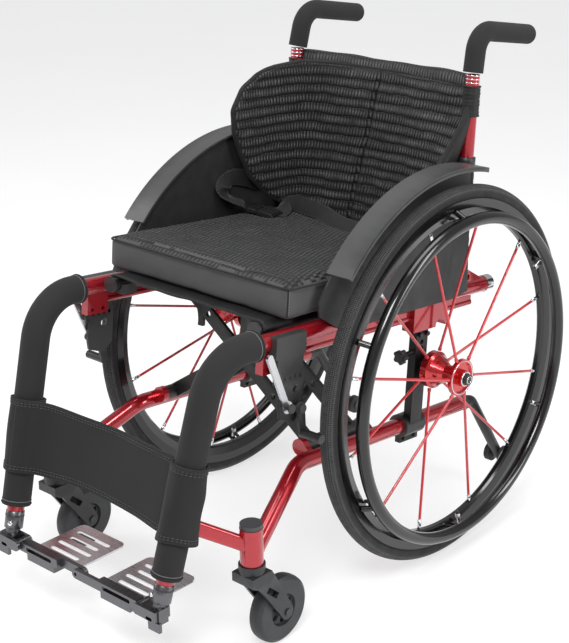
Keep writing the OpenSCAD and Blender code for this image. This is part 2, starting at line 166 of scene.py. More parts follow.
# painted highlight: sharp convex edges (high pointiness) get a lighter edge colour that stands in for the thin glints
# light draws along them
def painted_edge_highlight(M, base, edge, lo=0.52, hi=0.6):
    g = M.n("ShaderNodeNewGeometry")
    r = M.ramp(g.outputs["Pointiness"], [(lo, (0, 0, 0)), (hi, (1, 1, 1))])
    return M.mix(r, base, edge)


def paint(name, col, flake=0.5, rough=0.2, metal=0.55):
    M = Mat(name, col, rough, metal, coat=1.0, coat_rough=0.04)
    n1 = M.noise(900, 2)
    n2 = M.noise(9, 3)
    dark = tuple(c * 0.62 for c in col)
    light = tuple(min(1, c * 1.35 + 0.01) for c in col)
    base = M.mix(M.math("MULTIPLY", M.remap(n1, 0, 1), flake, clamp=True), dark, light)
    base = M.mix(M.math("MULTIPLY", M.remap(n2, 0, 1), 0.25, clamp=True), base, dark)
    M.color(base)
    M.rough(M.remap(n2, rough * 0.8, rough * 1.25))
    M.bump(M.noise(260, 2), 0.03, 0.0005)
    return M.m


def plastic(name, col, rough=0.45, grain=1500, gs=0.12, coat=0.0, edge=None):
    M = Mat(name, col, rough, 0.0, coat=coat, coat_rough=0.12)
    n2 = M.noise(14, 4)
    c = M.mix(M.remap(n2, 0, 1), tuple(v * 0.8 for v in col), tuple(v * 1.2 for v in col))
    # painted highlight along sharp edges: the edge colour, by default about twice the base colour
    c = painted_edge_highlight(M, c, edge or tuple(min(1, v * 2.2 + 0.01) for v in col))
    M.color(c)
    M.rough(M.remap(M.noise(40, 4), rough * 0.82, min(1, rough * 1.2)))
    M.bump(M.noise(grain, 3), gs, 0.0004)
    return M.m


def metal(name, col, rough=0.28, stretch=(30, 1, 1), metal=1.0, gs=0.1):
    M = Mat(name, col, rough, metal)
    v = M.coord(scale=stretch)
    n = M.noise(60, 6, 0.6, v)
    M.color(M.mix(M.remap(n, 0, 1), tuple(c * 0.85 for c in col), col))
    M.rough(M.remap(n, rough * 0.7, rough * 1.35))
    M.bump(n, gs, 0.0003)
    return M.m


def foam(name, col=(0.020, 0.020, 0.021)):
    M = Mat(name, col, 0.88, 0.0, sheen=0.05, spec=0.25)
    n = M.noise(2200, 3)
    n2 = M.noise(22, 4)
    M.color(M.mix(M.remap(n2, 0, 1), tuple(v * 0.85 for v in col), tuple(v * 1.15 for v in col)))
    M.rough(M.remap(n2, 0.78, 0.95))
    M.bump(n2, 0.25, 0.0012)
    M.bump(n, 0.35, 0.0003)
    return M.m


def weave(M, scale, strength, dist, rot=0.0, axes="xy"):
    """plain weave relief from two crossed sines in object space"""
    s = M.sep(M.coord(rot=(0, 0, rot)))
    a, b = {"xy": (0, 1), "xz": (0, 2), "yz": (1, 2)}[axes]
    u = M.math("SINE", M.math("MULTIPLY", s[a], scale))
    v = M.math("SINE", M.math("MULTIPLY", s[b], scale))
    w = M.math("MULTIPLY", u, v)
    M.bump(M.math("MULTIPLY_ADD", w, 0.5, 0.5), strength, dist)
    return w


def fabric(name, col, rough=0.75, scale=9000, strength=0.35, axes="xz", sheen=0.2, wrinkle=0.4):
    M = Mat(name, col, rough, 0.0, sheen=sheen * 0.4, spec=0.35)
    n2 = M.noise(18, 5)
    n3 = M.noise(1100, 3)
    c = M.mix(M.remap(n2, 0, 1), tuple(v * 0.8 for v in col), tuple(v * 1.2 for v in col))
    c = M.mix(M.math("MULTIPLY", M.remap(n3, 0, 1), 0.35, clamp=True), c, tuple(v * 1.7 for v in col))
    M.color(c)
    M.rough(M.remap(n2, rough * 0.85, min(1, rough * 1.12)))
    M.bump(n2, wrinkle, 0.002)
    weave(M, scale, strength, 0.0003, axes=axes)
    return M.m


RED = (0.50, 0.008, 0.020)
m_red = paint("paint_red", RED)
m_spoke = paint("paint_spoke_red", (0.80, 0.016, 0.028), flake=0.15, rough=0.3, metal=0.0)
m_hub = paint("anodised_red", (0.78, 0.018, 0.026), flake=0.3, rough=0.22, metal=0.75)
# the edge colours given below are painted highlights along sharp edges
m_gloss = plastic("gloss_black", (0.0025, 0.0025, 0.003), rough=0.17, grain=500, gs=0.02, coat=0.3, edge=(0.01, 0.01, 0.01))
m_satin = plastic("satin_black", (0.006, 0.006, 0.0065), rough=0.4, edge=(0.03, 0.03, 0.031))
m_guard = plastic("guard_black", (0.004, 0.004, 0.0045), rough=0.5, grain=900, gs=0.12, edge=(0.02, 0.02, 0.021))
m_flange = plastic("guard_flange_grey", (0.010, 0.010, 0.011), rough=0.36, grain=1200, gs=0.08, coat=0.08, edge=(0.06, 0.06, 0.062))
m_fork = plastic("fork_grey", (0.017, 0.018, 0.0195), rough=0.4, grain=1600, gs=0.12)
m_castwheel = plastic("caster_grey", (0.015, 0.016, 0.0175), rough=0.5, grain=1800, gs=0.1)
m_chrome = metal("chrome", (0.82, 0.83, 0.85), rough=0.12, gs=0.03)
m_alu = metal("aluminium", (0.66, 0.67, 0.69), rough=0.3)
m_plate = metal("footplate_metal", (0.74, 0.74, 0.76), rough=0.3, stretch=(1, 30, 1))
m_bar = metal("footbar_dark", (0.16, 0.16, 0.17), rough=0.3)
m_foam = foam("foam_charcoal")
m_grip = foam("foam_grip", (0.018, 0.018, 0.019))
m_rubber = plastic("rubber_black", (0.006, 0.006, 0.0065), rough=0.75, grain=2500, gs=0.2)


def tyre_mat():
    M = Mat("tyre_knurled", (0.017, 0.017, 0.018), 0.62, 0.0, spec=0.45)
    s = M.sep()
    y = M.math("SUBTRACT", s[1], Y0)
    z = M.math("SUBTRACT", s[2], 0.295)
    ang = M.math("ARCTAN2", z, y)
    rad = M.math("SQRT", M.math("ADD", M.math("MULTIPLY", y, y), M.math("MULTIPLY", z, z)))
    ax = M.math("SUBTRACT", M.math("ABSOLUTE", s[0]), 0.230)
    k = 330.0
    p = M.math("SINE", M.math("ADD", M.math("MULTIPLY", ang, k), M.math("MULTIPLY", ax, 1150.0)))
    q = M.math("SINE", M.math("SUBTRACT", M.math("MULTIPLY", ang, k), M.math("MULTIPLY", ax, 1150.0)))
    d = M.math("MULTIPLY", p, q)
    d = M.math("MULTIPLY_ADD", d, 0.5, 0.5)
    # the tread only: outside 286 mm radius
    t = M.n("ShaderNodeMapRange")
    t.inputs["From Min"].default_value = 0.2835
    t.inputs["From Max"].default_value = 0.2865
    M.link(rad, t.inputs["Value"])
    tread = t.outputs["Result"]
    M.bump(M.math("MULTIPLY", d, tread), 1.0, 0.0022)
    # fine concentric lines on the side wall
    ln = M.math("SINE", M.math("MULTIPLY", rad, 3200.0))
    M.bump(M.math("MULTIPLY", ln, M.math("SUBTRACT", 1.0, tread)), 0.12, 0.0004)
    # painted highlight and shade: the knurl tops of the tread are painted lighter and its grooves darker, standing in
    # for light on the tread
    c = M.mix(M.math("MULTIPLY", d, tread), (0.003, 0.003, 0.0035), (0.075, 0.075, 0.078))
    c = M.mix(M.math("MULTIPLY", M.remap(M.noise(30, 4), 0, 1), 0.3, clamp=True), c, (0.012, 0.0118, 0.0115))
    M.color(c)
    M.rough(M.remap(M.noise(60, 4), 0.5, 0.72))
    return M.m


m_tyre = tyre_mat()

assign = {
    "side_tube": m_red, "leg_tube": m_red, "lower_tube": m_red, "back_cane": m_red, "leg_sleeve": m_foam,
    "tube_cap": m_chrome, "axle_post": m_satin, "push_grip": m_grip, "guard_panel": m_guard, "guard_flange": m_flange,
    "brake_mount": m_satin, "rail_saddles": m_satin, "foot_bracket": m_bar, "brake_lever": m_alu, "brake_shoe": m_satin,
    "antitip_arm": m_satin, "antitip_wheel": m_rubber, "tyre": m_tyre, "rim": m_gloss, "spokes": m_spoke, "hub": m_hub,
    "handrim": m_gloss, "caster_fork": m_fork, "caster_wheel": m_castwheel, "foot_bar": m_bar, "foot_plate": m_plate,
}
for name, o in NODES.items():
    key = name[:-2] if name[-2:] in ("_l", "_r") else name
    m = assign.get(key) or {"cross_arm_a": m_satin, "cross_arm_b": m_satin, "cross_bolts": m_alu}.get(key)
    if m:
        if not o.material_slots:
            o.data.materials.append(m)
        for s in o.material_slots:
            s.material = m

# ------------------------------------------------------------------ mesh tools
def make(name, verts, faces, mat, smooth=True, uvs=None):
    me = bpy.data.meshes.new(name)
    me.from_pydata([tuple(v) for v in verts], [], faces)
    me.update()
    o = bpy.data.objects.new(name, me)
    bpy.context.scene.collection.objects.link(o)
    me.materials.append(mat)
    if smooth:
        me.polygons.foreach_set("use_smooth", [True] * len(me.polygons))
    if uvs is not None:
        uvl = me.uv_layers.new(name="UVMap")
        idx = np.zeros(len(me.loops), np.int32)
        me.loops.foreach_get("vertex_index", idx)
        uvl.data.foreach_set("uv", np.asarray(uvs, np.float32)[idx].ravel())
    return o


def frames(path, up):
    """tangent, side and up at every point of a path"""
    p = np.asarray(path, float)
    t = np.gradient(p, axis=0)
    t /= np.linalg.norm(t, axis=1)[:, None]
    up = np.broadcast_to(np.asarray(up, float), p.shape)
    s = np.cross(t, up)
    s /= np.maximum(np.linalg.norm(s, axis=1)[:, None], 1e-9)
    u = np.cross(s, t)
    return t, s, u


def sweep(name, path, section, mat, up=(0, 0, 1), closed=False, cap=True, scale=None):
    """a closed section swept along a path; section is (side, up) pairs in metres"""
    p = np.asarray(path, float)
    sec = np.asarray(section, float)
    n, k = len(p), len(sec)
    if closed:
        ext = np.vstack([p[-1:], p, p[:1]])
        t, s, u = (a[1:-1] for a in frames(ext, up if np.ndim(up) == 1 else np.vstack([up[-1:], up, up[:1]])))
    else:
        t, s, u = frames(p, up)
    sc = np.ones(n) if scale is None else np.asarray(scale)
    V = (p[:, None, :] + s[:, None, :] * sec[None, :, 0:1] * sc[:, None, None] + u[:, None, :] * sec[None, :, 1:2] * sc[:, None, None]).reshape(-1, 3)
    F = []
    for i in range(n if closed else n - 1):
        j = (i + 1) % n
        for a in range(k):
            b = (a + 1) % k
            F.append((i * k + a, j * k + a, j * k + b, i * k + b))
    if cap and not closed:
        F.append(tuple(range(k)))
        F.append(tuple(reversed(range((n - 1) * k, n * k))))
    return make(name, V, F, mat)


def circle_sec(r, k=10):
    return [(r * math.cos(2 * math.pi * i / k), r * math.sin(2 * math.pi * i / k)) for i in range(k)]


def strap_sec(w, t, k=3):
    """a flat strap with soft edges, w wide (side) and t thick (up)"""
    pts = []
    for cx, a0 in ((w / 2 - t / 2, -90), (-w / 2 + t / 2, 90)):
        for i in range(k + 1):
            a = math.radians(a0 + 180 * i / k)
            pts.append((cx + t / 2 * math.cos(a), t / 2 * math.sin(a)))
    return pts


def smooth_path(pts, n=60, closed=False):
    """Catmull-Rom through points"""
    p = [np.asarray(q, float) for q in pts]
    q = ([p[-1]] + p + p[:2]) if closed else ([2 * p[0] - p[1]] + p + [2 * p[-1] - p[-2]])
    segs = len(p) if closed else len(p) - 1
    out = []
    per = max(2, n // segs)
    for i in range(segs):
        a, b, c, d = q[i:i + 4]
        for j in range(per):
            t = j / per
            out.append(0.5 * ((2 * b) + (-a + c) * t + (2 * a - 5 * b + 4 * c - d) * t * t + (-a + 3 * b - 3 * c + d) * t ** 3))
    if not closed:
        out.append(p[-1])
    return np.array(out)


def join(name, objs):
    """several meshes as one object"""
    bm = bmesh.new()
    mats = []
    for o in objs:
        base = len(bm.faces)
        me = o.data
        me.transform(o.matrix_world)
        idx = []
        for m in me.materials:
            if m not in mats:
                mats.append(m)
            idx.append(mats.index(m))
        bm.from_mesh(me)
        bm.faces.ensure_lookup_table()
        for f in bm.faces[base:]:
            f.material_index = idx[f.material_index] if idx else 0
    me = bpy.data.meshes.new(name)
    bm.to_mesh(me)
    bm.free()
    for m in mats:
        me.materials.append(m)
    for o in objs:
        bpy.data.objects.remove(o)
    o = bpy.data.objects.new(name, me)
    bpy.context.scene.collection.objects.link(o)
    return o


def apply_mods(o):
    dg = bpy.context.evaluated_depsgraph_get()
    ev = o.evaluated_get(dg)
    me = bpy.data.meshes.new_from_object(ev)
    o.modifiers.clear()
    old = o.data
    o.data = me
    bpy.data.meshes.remove(old)
    return o


# ------------------------------------------------------------------ stage
def build_stage():
    S, n = 90.0, 8
    V = [(-S + 2 * S * i / n, -S + 2 * S * j / n, -0.0002) for j in range(n + 1) for i in range(n + 1)]
    F = [(j * (n + 1) + i, j * (n + 1) + i + 1, (j + 1) * (n + 1) + i + 1, (j + 1) * (n + 1) + i) for j in range(n) for i in range(n)]
    M = Mat("stage_white", (0.42, 0.42, 0.425), 0.9, 0)
    M.color(M.mix(M.remap(M.noise(2, 3), 0, 1), (0.41, 0.41, 0.415), (0.43, 0.43, 0.435)))
    M.b.inputs["Emission Color"].default_value = (1, 1, 1, 1)
    M.b.inputs["Emission Strength"].default_value = 0.62
    o = make("floor", V, F, M.m)


def area(name, loc, target, size, power, color=(1, 1, 1)):
    L = bpy.data.lights.new(name, "AREA")
    L.shape = "RECTANGLE"
    L.size, L.size_y = size
    L.energy = power
    L.color = color
    o = bpy.data.objects.new(name, L)
    bpy.context.scene.collection.objects.link(o)
    o.location = loc
    d = Vector(target) - Vector(loc)
    o.rotation_euler = d.to_track_quat("-Z", "Y").to_euler()
    return o


def build_lights():
    w = bpy.data.worlds.new("world")
    bpy.context.scene.world = w
    w.use_nodes = True
    bg = w.node_tree.nodes["Background"]
    bg.inputs["Color"].default_value = (1, 1, 1, 1)
    bg.inputs["Strength"].default_value = 0.42
    area("key", (1.2, -1.8, 2.6), (0, 0.1, 0.4), (1.0, 1.0), 62)
    area("fill", (-2.4, -1.2, 1.6), (0, 0.1, 0.4), (1.0, 2.2), 20)
    area("right", (2.4, 0.9, 1.4), (0, 0.1, 0.4), (0.5, 2.0), 30)
    area("top", (0, 0.3, 3.0), (0, 0.1, 0.4), (1.6, 1.6), 34)


def build_camera():
    az, el = math.radians(40.65256776), math.radians(18.76633925)
    dist, f = 2.35075131, 1465.7
    cx, cy = 335.54803714, 277.53763357
    back = Vector((math.sin(az) * math.cos(el), -math.cos(az) * math.cos(el), math.sin(el)))
    cam = bpy.data.cameras.new("camera")
    cam.sensor_fit = "HORIZONTAL"
    cam.sensor_width = 36.0
    cam.lens = f / 569.0 * 36.0
    cam.shift_x = (284.5 - cx) / 569.0
    cam.shift_y = (cy - 321.5) / 569.0
    cam.clip_start = 0.05
    o = bpy.data.objects.new("camera", cam)
    bpy.context.scene.collection.objects.link(o)
    o.location = Vector((0, Y0, 0.4)) + back * dist
    o.rotation_euler = back.to_track_quat("Z", "Y").to_euler()
    bpy.context.scene.camera = o
    bpy.context.scene.view_settings.view_transform = "Standard"


build_stage()
build_lights()
build_camera()

# ------------------------------------------------------------------ fabrics
def nylon(name, col=(0.032, 0.032, 0.034), axes="xz", rough=0.6, wrinkle=0.5):
    return fabric(name, col, rough=rough, scale=7500, strength=0.3, axes=axes, sheen=0.1, wrinkle=wrinkle)


def ribbed(name, row, pitch, col=(0.004, 0.004, 0.0045), tip_highlight=(0.11, 0.11, 0.113), depth=0.004):
    """puckered mesh: rows of upright oval ribs, in UV metres"""
    M = Mat(name, col, 0.6, 0.0, sheen=0.05, spec=0.4)
    uv = M.coord(uv=True)
    warp = M.n("ShaderNodeTexNoise")
    warp.inputs["Scale"].default_value = 16
    warp.inputs["Detail"].default_value = 3
    M.link(uv, warp.inputs["Vector"])
    w = M.math("MULTIPLY", M.math("SUBTRACT", warp.outputs["Fac"], 0.5), 0.012)
    s = M.sep(uv)
    u = M.math("ADD", s[0], w)
    v = M.math("ADD", s[1], w)
    rowf = M.math("DIVIDE", v, row)
    ri = M.math("FLOOR", rowf)
    odd = M.math("MULTIPLY", M.math("MODULO", ri, 2.0), 0.5)
    rowprof = M.math("SINE", M.math("MULTIPLY", M.math("FRACT", rowf), math.pi))
    rowprof = M.math("POWER", M.math("MAXIMUM", rowprof, 0.0001), 0.55)
    cu = M.math("ADD", M.math("DIVIDE", u, pitch), odd)
    rib = M.math("SINE", M.math("MULTIPLY", M.math("FRACT", cu), math.pi))
    rib = M.math("POWER", M.math("MAXIMUM", rib, 0.0001), 0.8)
    h = M.math("MULTIPLY", rib, rowprof)
    amp = M.math("MULTIPLY_ADD", M.noise(45, 2, vec=uv), 0.9, 0.45)
    h = M.math("MULTIPLY", h, amp)
    M.bump(h, 1.0, depth)
    M.bump(M.noise(2600, 2), 0.4, 0.0003)
    # painted highlight and shade: rib tops are painted lighter as a highlight and the grooves keep the dark base colour
    # as painted shade
    c = M.mix(M.math("POWER", M.math("MULTIPLY", h, 1.0, clamp=True), 2.2), col, tip_highlight)
    c = M.mix(M.math("MULTIPLY", M.remap(M.noise(14, 4), 0, 1), 0.45, clamp=True), c, tuple(x * 0.6 for x in col))
    M.color(c)
    return M.m


m_nylon = nylon("nylon_side", (0.055, 0.055, 0.057))
m_nylon_dark = nylon("nylon_dark", (0.005, 0.005, 0.0055), rough=0.55)
# both mesh materials carry painted highlights on their rib tops
m_mesh_back = ribbed("mesh_back", 0.0155, 0.0058)
m_mesh_seat = ribbed("mesh_seat", 0.0105, 0.0075, col=(0.0035, 0.0035, 0.004), tip_highlight=(0.075, 0.075, 0.078), depth=0.004)
m_neoprene = foam("neoprene_band", (0.018, 0.018, 0.0185))
m_web = fabric("webbing", (0.007, 0.007, 0.0075), rough=0.7, scale=5200, strength=0.8, axes="xz", wrinkle=0.15)
m_binding = fabric("edge_binding", (0.006, 0.006, 0.0065), rough=0.7, scale=5200, strength=0.5, axes="xz", wrinkle=0.2)
m_thread = plastic("thread_grey", (0.085, 0.085, 0.088), rough=0.8, grain=3000, gs=0.2)
m_buckle = plastic("buckle_black", (0.005, 0.005, 0.0055), rough=0.3, grain=900, gs=0.05, coat=0.3)


# ------------------------------------------------------------------ cushion
def simulate_pad(o, pressure, cap, frames=20):
    """air pressure swells the pad; no point moves further than cap"""
    rest = np.array([v.co for v in o.data.vertices])
    md = o.modifiers.new("cloth", "CLOTH")
    st = md.settings
    st.quality = 4
    st.mass = 0.3
    st.tension_stiffness = 30
    st.compression_stiffness = 30
    st.shear_stiffness = 12
    st.bending_stiffness = 1.2
    st.use_pressure = True
    st.uniform_pressure_force = pressure
    st.effector_weights.gravity = 0
    md.collision_settings.use_self_collision = False
    sc = bpy.context.scene
    md.point_cache.frame_start, md.point_cache.frame_end = 1, frames
    for f in range(1, frames + 1):
        sc.frame_set(f)
    dg = bpy.context.evaluated_depsgraph_get()
    ev = o.evaluated_get(dg)
    me = ev.to_mesh()
    co = np.array([v.co for v in me.vertices])
    ev.to_mesh_clear()
    o.modifiers.clear()
    sc.frame_set(1)
    d = co - rest
    ln = np.linalg.norm(d, axis=1)
    k = np.where(ln > cap, cap / np.maximum(ln, 1e-9), 1.0)
    return rest + d * k[:, None]


def rounded_rect(hx, hy, r, n=10):
    pts = []
    for cx, cy, a0 in ((hx - r, hy - r, 0), (-hx + r, hy - r, 90), (-hx + r, -hy + r, 180), (hx - r, -hy + r, 270)):
        for i in range(n):
            a = math.radians(a0 + 90 * i / (n - 1))
            pts.append((cx + r * math.cos(a), cy + r * math.sin(a)))
    return pts


def densify(pts, step):
    out = []
    for a, b in zip(pts, pts[1:] + pts[:1]):
        k = max(1, int(math.dist(a, b) / step))
        for i in range(k):
            out.append((a[0] + (b[0] - a[0]) * i / k, a[1] + (b[1] - a[1]) * i / k))
    return out


def build_cushion():
    HX, HY, ZB, ZT, CY = 0.1868, 0.1925, 0.0233, 0.0700, -0.1285
    # local tilted frame, metres
    ring = []
    outer = rounded_rect(HX, HY, 0.011, 9)
    layers = [(0.975, ZB), (0.995, ZB + 0.0015), (1.0, ZB + 0.005), (1.0, ZB + 0.021), (1.0, ZT - 0.004), (0.995, ZT - 0.001), (0.985, ZT)]
    V, F = [], []
    k = len(outer)
    for sc, z in layers:
        for x, y in outer:
            V.append((x * sc, y * sc + CY, z))
    for i in range(len(layers) - 1):
        for a in range(k):
            b = (a + 1) % k
            F.append((i * k + a, i * k + b, (i + 1) * k + b, (i + 1) * k + a))
    F.append(tuple(reversed(range(k))))
    F.append(tuple(range((len(layers) - 1) * k, len(layers) * k)))
    o = make("cushion_base", V, F, m_nylon, smooth=True)
    md = o.modifiers.new("r", "REMESH")
    md.mode = "VOXEL"
    md.voxel_size = 0.0055
    md.use_smooth_shade = True
    apply_mods(o)
    co = np.array([v.co for v in o.data.vertices])
    co = simulate_pad(o, 3.5, 0.006)
    x, y, z = co[:, 0], co[:, 1] - CY, co[:, 2]
    # the sides pull in between the corners, the top is crowned, the base stays flat
    top = np.clip((z - ZB - 0.012) / (ZT - ZB - 0.012), 0, 1)
    crown = 0.0045 * np.clip(1 - (x / HX) ** 4, 0, 1) * np.clip(1 - (y / HY) ** 4, 0, 1)
    z = np.where(z < ZB + 0.004, np.maximum(z, ZB), z) + crown * top
    pull = 0.0025 * np.cos(x / HX * math.pi / 2)
    y = y - np.sign(y) * pull * (np.abs(y) > HY * 0.9)
    pullx = 0.0025 * np.cos(y / HY * math.pi / 2)
    x = x - np.sign(x) * pullx * (np.abs(x) > HX * 0.9)
    # soft creases on the side walls
    rng = np.random.default_rng(5)
    side = (np.abs(y) > HY * 0.95) | (np.abs(x) > HX * 0.95)
    along = np.where(np.abs(y) > HY * 0.95, x, y)
    cr = np.zeros(len(x))
    for _ in range(9):
        c0, wd, am = rng.uniform(-0.17, 0.17), rng.uniform(0.006, 0.02), rng.uniform(-0.0012, 0.0009)
        cr += am * np.exp(-((along - c0 + rng.uniform(-0.3, 0.3) * (z - 0.045)) / wd) ** 2)
    y = y + np.where(np.abs(y) > HY * 0.95, np.sign(y) * cr, 0)
    x = x + np.where(np.abs(x) > HX * 0.95, np.sign(x) * cr, 0)
    x = np.clip(x, -0.1875, 0.1875)
    y = np.clip(y, -0.1940, 0.1925)
    z = np.minimum(z, 0.0765)
    loc = np.stack([x, y + CY, z], 1)
    me = o.data
    uvl = me.uv_layers.new(name="UVMap")
    idx = np.zeros(len(me.loops), np.int32)
    me.loops.foreach_get("vertex_index", idx)
    uvl.data.foreach_set("uv", loc[idx][:, :2].astype(np.float32).ravel())
    me.vertices.foreach_set("co", loc.astype(np.float32).ravel())
    me.update()
    me.materials.append(m_mesh_seat)
    for p in me.polygons:
        c = p.center
        if p.normal.z > 0.75 and c.z > ZT - 0.008 and abs(c.x) < HX - 0.005 and abs(c.y - CY) < HY - 0.005:
            p.material_index = 1
    md = o.modifiers.new("s", "SUBSURF")
    md.levels = md.render_levels = 1
    apply_mods(o)
    # geometry rows across the top: gentle scalloped ridges parallel to the front
    me = o.data
    co = np.array([v.co for v in me.vertices])
    inner = np.clip((HX - 0.003 - np.abs(co[:, 0])) / 0.008, 0, 1) * np.clip((HY - 0.003 - np.abs(co[:, 1] - CY)) / 0.008, 0, 1) * (co[:, 2] > ZT - 0.008)
    rows = np.abs(np.sin(co[:, 1] * math.pi / 0.0105))
    co[:, 2] += 0.0011 * (rows - 0.6) * inner
    # piping round the top edge and a sewn seam at each front corner
    from mathutils.bvhtree import BVHTree
    me.vertices.foreach_set("co", co.astype(np.float32).ravel())
    me.update()
    bm = bmesh.new()
    bm.from_mesh(me)
    tree = BVHTree.FromBMesh(bm)
    bm.free()
    edge = []
    for px, py in densify(rounded_rect(HX - 0.003, HY - 0.003, 0.012, 14), 0.012):
        hit = tree.ray_cast(Vector((px * 0.9985, py * 0.9985 + CY, 0.12)), Vector((0, 0, -1)))[0]
        edge.append(np.array(hit) if hit is not None and hit[2] > ZT - 0.02 else np.array([px, py + CY, ZT - 0.002]))
    zz = np.array([q[2] for q in edge])
    for _ in range(6):
        zz = (np.roll(zz, 1) + zz + np.roll(zz, -1)) / 3
    edge = np.array([[q[0], q[1], w] for q, w in zip(edge, zz)])
    piping = sweep("cushion_piping", edge, circle_sec(0.0017, 8), m_binding, closed=True)
    extra = [piping]
    for sx in (-1, 1):
        for sy in (-1, 1):
            pth = []
            for zz in np.linspace(ZB + 0.004, ZT - 0.004, 12):
                a = math.radians(45)
                q = tree.find_nearest(Vector((sx * (HX - 0.011 + 0.0115 * math.cos(a)), sy * (HY - 0.011 + 0.0115 * math.sin(a)) + CY, zz)))[0]
                pth.append(q)
            extra.append(sweep("corner_seam", np.array(pth), circle_sec(0.0011, 6), m_binding, up=(1, 0, 0)))
            for i in range(9):
                f = (i + 0.5) / 9
                a = np.array(pth[0]) * (1 - f) + np.array(pth[-1]) * f
                off = np.array([0.0035 * sx, -0.0035 * sy, 0])
                q = np.array(tree.find_nearest(Vector(a + off + np.array([0.004 * sx, 0.004 * sy, 0])))[0])
                extra.append(sweep("st", [q + [0, 0, -0.0012], q + [0.0003 * sx, 0.0003 * sy, 0], q + [0, 0, 0.0012]], circle_sec(0.0004, 5), m_thread, up=(1, 0, 0)))
    trim = join("cushion_trim", extra)
    for ob in (o, trim):
        c = np.array([v.co for v in ob.data.vertices]) * 1000
        w = np.stack([T(*q) for q in c])
        ob.data.vertices.foreach_set("co", w.astype(np.float32).ravel())
        ob.data.update()
        ob.data.polygons.foreach_set("use_smooth", [True] * len(ob.data.polygons))
    o.name = "cushion_cover"
    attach(o, "cushion_body")
    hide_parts("cushion")
    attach(trim, "cushion_body")
    for ob in (o, trim):
        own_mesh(ob)


build_cushion()


# ------------------------------------------------------------------ backrest
PLAN = [(0, 112), (60, 109), (116, 99), (152, 78), (170, 28), (178, -30), (182, -75)]
_c = smooth_path([(x, y, 0) for x, y in PLAN], 240)
_seg = np.r_[0, np.cumsum(np.linalg.norm(np.diff(_c, axis=0), axis=1))]


_f = smooth_path([(0, 112, 0), (60, 110.5, 0), (116, 107, 0), (168, 101, 0), (181, 84, 0), (184, 55, 0), (185, 20, 0)], 240)
_segf = np.r_[0, np.cumsum(np.linalg.norm(np.diff(_f, axis=0), axis=1))]


def plan_xy(a, w):
    c = np.array([np.interp(a, _seg, _c[:, 0]), np.interp(a, _seg, _c[:, 1])])
    f = np.array([np.interp(a, _segf, _f[:, 0]), np.interp(a, _segf, _f[:, 1])])
    return c * (1 - w) + f * w


def on_plan(s, z):
    """point and outward (towards the sitter) normal on the pad's front face; the left wing lies flatter towards its top"""
    a = abs(s)
    w = min(1.0, max(0.0, (z - 540) / 150.0))
    w = w * w * (3 - 2 * w) if s > 0 else 0.0
    x, y = plan_xy(a, w)
    x2, y2 = plan_xy(a + 1, w)
    t = np.array([x2 - x, y2 - y])
    t /= np.linalg.norm(t)
    n = np.array([t[1], -t[0]])
    if s < 0:
        x, n = -x, np.array([-n[0], n[1]])
    return np.array([x, y]), n


S_MAX = [(0, 165), (0.0127, 178), (0.1, 213), (0.25, 250), (0.41, 271), (0.585, 289), (0.733, 293), (0.869, 275), (0.958, 240), (0.9915, 199), (1, 162)]


